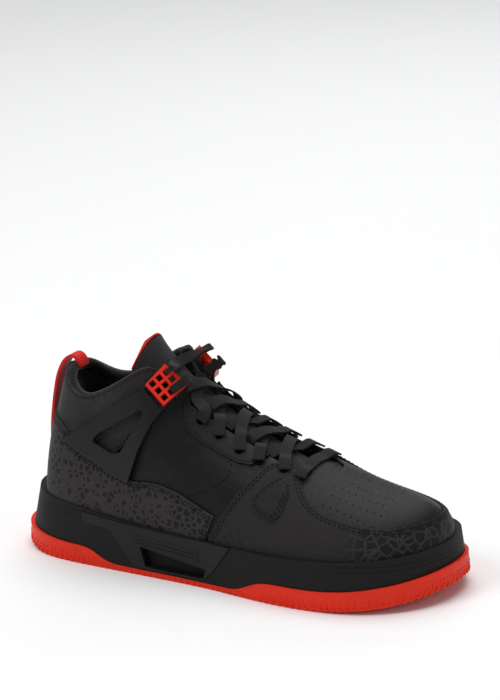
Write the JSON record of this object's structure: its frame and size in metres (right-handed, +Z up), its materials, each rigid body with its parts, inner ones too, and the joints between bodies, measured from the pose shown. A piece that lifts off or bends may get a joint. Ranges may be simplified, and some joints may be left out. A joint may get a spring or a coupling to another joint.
{
  "type": "basketball high top shoe",
  "caption": "Right high-top sports shoe with a rubber cup sole, layered leather upper, moulded ankle wings, lace locks, heel pull tab and padded tongue.",
  "frame": {"origin": "on the ground under the middle of the shoe's bounding box", "axes": "+X towards the toe, +Y towards the medial side (the other foot), +Z up"},
  "size_m": [0.2992, 0.1121, 0.1436],
  "materials": {
    "red_rubber": "matte moulded rubber",
    "black_midsole": "matte painted midsole",
    "frame_tpu": "satin moulded plastic",
    "shank_plastic": "moulded plastic",
    "board_fibre": "pressed fibre board",
    "sockliner_fabric": "knit cover on foam",
    "quarter_leather": "smooth",
    "vamp_leather": "smooth, perforated",
    "lining_textile": "knit",
    "stiffener_plastic": "formed sheet",
    "collar_leather": "tumbled",
    "padding_foam": "open-cell foam",
    "mudguard_nubuck": "nubuck with a dark crackle print",
    "heel_suede": "suede with dark printed spots",
    "insert_leather": "nubuck",
    "eyestay_leather": "smooth",
    "wing_tpu": "satin moulded plastic",
    "tongue_leather": "tumbled",
    "tongue_textile": "knit",
    "red_binding": "woven tape",
    "red_webbing": "woven webbing",
    "red_lock": "moulded plastic",
    "lace_textile": "flat woven lace"
  },
  "bodies": {
    "shoe": {"arch_frame_lateral": "frame_tpu", "arch_frame_medial": "frame_tpu", "collar_foam": "padding_foam", "collar_lining": "lining_textile", "collar_panel": "collar_leather", "collar_roll": "lining_textile", "eyestay_lateral": "eyestay_leather", "eyestay_medial": "eyestay_leather", "heel_counter": "stiffener_plastic", "heel_overlay": "heel_suede", "heel_pull_tab": "red_webbing", "insert_lateral": "insert_leather", "insert_medial": "insert_leather", "lace_bar": "lace_textile", "lace_cross_1_lateral": "lace_textile", "lace_cross_1_medial": "lace_textile", "lace_cross_2_lateral": "lace_textile", "lace_cross_2_medial": "lace_textile", "lace_cross_3_lateral": "lace_textile", "lace_cross_3_medial": "lace_textile", "lace_cross_4_lateral": "lace_textile", "lace_cross_4_medial": "lace_textile", "lace_cross_5_lateral": "lace_textile", "lace_cross_5_medial": "lace_textile", "lace_lock_lateral": "red_lock", "lace_lock_medial": "red_lock", "lace_top": "lace_textile", "lasting_board": "board_fibre", "midsole": "black_midsole", "mudguard": "mudguard_nubuck", "outsole": "red_rubber", "quarter_lateral": "quarter_leather", "quarter_medial": "quarter_leather", "shank": "shank_plastic", "throat_gusset": "vamp_leather", "toe_puff": "stiffener_plastic", "vamp": "vamp_leather", "vamp_lining": "lining_textile", "wing_lateral": "wing_tpu", "wing_medial": "wing_tpu"},
    "tongue": {"tongue_binding": "red_binding", "tongue_foam": "padding_foam", "tongue_lining": "tongue_textile", "tongue_outer": "tongue_leather"},
    "insole": {"sockliner": "sockliner_fabric"}
  },
  "joints": [
    {"name": "tongue_hinge", "type": "hinge", "parent": "shoe", "child": "tongue", "pos_m": [0.062, 0, 0.064], "axis": [0, -1, 0], "range_deg": [0, 8], "stiffness_Nm_per_rad": 0.4, "springref_deg": -5.73},
    {"name": "sockliner_lift", "type": "hinge", "parent": "shoe", "child": "insole", "pos_m": [0.125, 0, 0.024], "axis": [0, 1, 0], "range_deg": [0, 5]}
  ]
}
